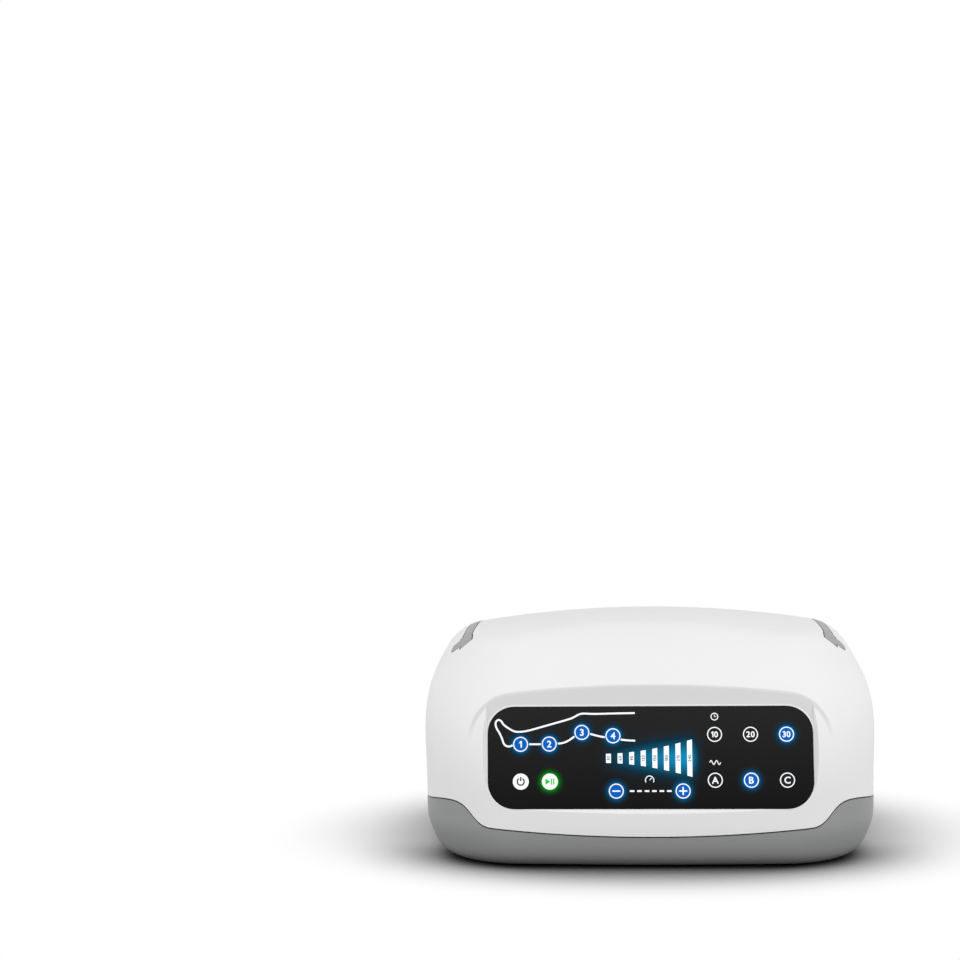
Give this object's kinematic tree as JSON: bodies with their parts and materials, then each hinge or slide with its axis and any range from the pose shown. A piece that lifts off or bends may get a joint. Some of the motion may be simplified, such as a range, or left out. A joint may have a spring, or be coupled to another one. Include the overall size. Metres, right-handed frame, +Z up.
{
  "type": "compression therapy pump",
  "caption": "Table-top air pump for leg compression sleeves, with a domed white housing, a grey base, a glossy key panel with a light scale and a folding bail handle.",
  "frame": {"origin": "centre of the footprint on the table, under the middle of the bounding box", "axes": "+Z up, the key panel looks along -Y, +X to the right of a person facing the panel"},
  "size_m": [0.2586, 0.196, 0.1345],
  "materials": {
    "white_shell": "moulded ABS, satin gloss",
    "grey_shell": "moulded ABS, mid grey",
    "gasket": "black foam rubber",
    "feet": "black rubber",
    "screws": "zinc plated steel",
    "filter_cover": "grey plastic",
    "filter_foam": "open-cell foam",
    "handle": "moulded nylon, grey",
    "pins": "steel",
    "panel": "gloss black acrylic",
    "light_bars": "translucent white light guide",
    "keys": "translucent white key cap",
    "boards": "green solder mask",
    "switches": "black plastic",
    "inlet": "black plastic",
    "inlet_pins": "plated brass",
    "outlets": "grey plastic",
    "manifold": "white acetal",
    "tubes": "silicone rubber",
    "coil_cans": "black moulded coil",
    "plungers": "stainless steel",
    "frame": "zinc plated sheet steel",
    "isolators": "soft rubber",
    "cores": "laminated iron",
    "copper": "enamelled copper wire",
    "armature": "aluminium with a steel rod",
    "magnets": "nickel plated magnet",
    "diaphragms": "black rubber",
    "heads": "black glass-filled nylon",
    "transformer": "potted blue-black block",
    "components": "black parts"
  },
  "bodies": {
    "housing": {"upper_shell": "white_shell", "lower_shell": "grey_shell", "seam_gasket": "gasket", "rubber_feet": "feet", "housing_screws": "screws", "filter_cover": "filter_cover", "air_filter": "filter_foam", "handle_pins": "pins", "control_panel": "panel", "pressure_light_bars": "light_bars", "display_board": "boards", "key_switches": "switches", "display_screws": "screws", "mains_inlet": "inlet", "inlet_pins": "inlet_pins", "air_outlet_left": "outlets", "air_outlet_right": "outlets", "valve_manifold": "manifold", "outlet_tubes": "tubes", "valve_coils": "coil_cans", "compressor_frame": "frame", "isolators": "isolators", "magnet_cores": "cores", "drive_coils": "copper", "diaphragm_left": "diaphragms", "diaphragm_right": "diaphragms", "pump_head_left": "heads", "pump_head_right": "heads", "supply_tubes": "tubes", "main_board": "boards", "power_transformer": "transformer", "board_components": "components", "buzzer": "components", "pressure_sensor": "components"},
    "handle": {"carry_handle": "handle"},
    "moving_armature": {"armature": "armature", "armature_magnets": "magnets"},
    "key_position_1_body": {"key_position_1": "keys"},
    "key_position_2_body": {"key_position_2": "keys"},
    "key_position_3_body": {"key_position_3": "keys"},
    "key_position_4_body": {"key_position_4": "keys"},
    "key_power_body": {"key_power": "keys"},
    "key_start_body": {"key_start": "keys"},
    "key_minus_body": {"key_minus": "keys"},
    "key_plus_body": {"key_plus": "keys"},
    "key_time_10_body": {"key_time_10": "keys"},
    "key_time_20_body": {"key_time_20": "keys"},
    "key_time_30_body": {"key_time_30": "keys"},
    "key_mode_a_body": {"key_mode_a": "keys"},
    "key_mode_b_body": {"key_mode_b": "keys"},
    "key_mode_c_body": {"key_mode_c": "keys"},
    "plunger_1_body": {"valve_plunger_1": "plungers"},
    "plunger_2_body": {"valve_plunger_2": "plungers"},
    "plunger_3_body": {"valve_plunger_3": "plungers"},
    "plunger_4_body": {"valve_plunger_4": "plungers"}
  },
  "joints": [
    {"name": "handle_swing", "type": "hinge", "parent": "housing", "child": "handle", "pos_m": [0, -0.0412, 0.1174], "axis": [1, 0, 0], "range_deg": [0, 75]},
    {"name": "key_position_1_press", "type": "slide", "parent": "housing", "child": "key_position_1_body", "axis": [0, 0.9816, -0.1908], "range_m": [0, 0.0008], "stiffness_N_per_m": 600},
    {"name": "key_position_2_press", "type": "slide", "parent": "housing", "child": "key_position_2_body", "axis": [0, 0.9816, -0.1908], "range_m": [0, 0.0008], "stiffness_N_per_m": 600},
    {"name": "key_position_3_press", "type": "slide", "parent": "housing", "child": "key_position_3_body", "axis": [0, 0.9816, -0.1908], "range_m": [0, 0.0008], "stiffness_N_per_m": 600},
    {"name": "key_position_4_press", "type": "slide", "parent": "housing", "child": "key_position_4_body", "axis": [0, 0.9816, -0.1908], "range_m": [0, 0.0008], "stiffness_N_per_m": 600},
    {"name": "key_power_press", "type": "slide", "parent": "housing", "child": "key_power_body", "axis": [0, 0.9816, -0.1908], "range_m": [0, 0.0008], "stiffness_N_per_m": 600},
    {"name": "key_start_press", "type": "slide", "parent": "housing", "child": "key_start_body", "axis": [0, 0.9816, -0.1908], "range_m": [0, 0.0008], "stiffness_N_per_m": 600},
    {"name": "key_minus_press", "type": "slide", "parent": "housing", "child": "key_minus_body", "axis": [0, 0.9816, -0.1908], "range_m": [0, 0.0008], "stiffness_N_per_m": 600},
    {"name": "key_plus_press", "type": "slide", "parent": "housing", "child": "key_plus_body", "axis": [0, 0.9816, -0.1908], "range_m": [0, 0.0008], "stiffness_N_per_m": 600},
    {"name": "key_time_10_press", "type": "slide", "parent": "housing", "child": "key_time_10_body", "axis": [0, 0.9816, -0.1908], "range_m": [0, 0.0008], "stiffness_N_per_m": 600},
    {"name": "key_time_20_press", "type": "slide", "parent": "housing", "child": "key_time_20_body", "axis": [0, 0.9816, -0.1908], "range_m": [0, 0.0008], "stiffness_N_per_m": 600},
    {"name": "key_time_30_press", "type": "slide", "parent": "housing", "child": "key_time_30_body", "axis": [0, 0.9816, -0.1908], "range_m": [0, 0.0008], "stiffness_N_per_m": 600},
    {"name": "key_mode_a_press", "type": "slide", "parent": "housing", "child": "key_mode_a_body", "axis": [0, 0.9816, -0.1908], "range_m": [0, 0.0008], "stiffness_N_per_m": 600},
    {"name": "key_mode_b_press", "type": "slide", "parent": "housing", "child": "key_mode_b_body", "axis": [0, 0.9816, -0.1908], "range_m": [0, 0.0008], "stiffness_N_per_m": 600},
    {"name": "key_mode_c_press", "type": "slide", "parent": "housing", "child": "key_mode_c_body", "axis": [0, 0.9816, -0.1908], "range_m": [0, 0.0008], "stiffness_N_per_m": 600},
    {"name": "armature_stroke", "type": "slide", "parent": "housing", "child": "moving_armature", "axis": [1, 0, 0], "range_m": [-0.0015, 0.0015], "stiffness_N_per_m": 4000},
    {"name": "valve_plunger_1_lift", "type": "slide", "parent": "housing", "child": "plunger_1_body", "axis": [0, 0, 1], "range_m": [0, 0.0015], "stiffness_N_per_m": 300},
    {"name": "valve_plunger_2_lift", "type": "slide", "parent": "housing", "child": "plunger_2_body", "axis": [0, 0, 1], "range_m": [0, 0.0015], "stiffness_N_per_m": 300},
    {"name": "valve_plunger_3_lift", "type": "slide", "parent": "housing", "child": "plunger_3_body", "axis": [0, 0, 1], "range_m": [0, 0.0015], "stiffness_N_per_m": 300},
    {"name": "valve_plunger_4_lift", "type": "slide", "parent": "housing", "child": "plunger_4_body", "axis": [0, 0, 1], "range_m": [0, 0.0015], "stiffness_N_per_m": 300}
  ]
}
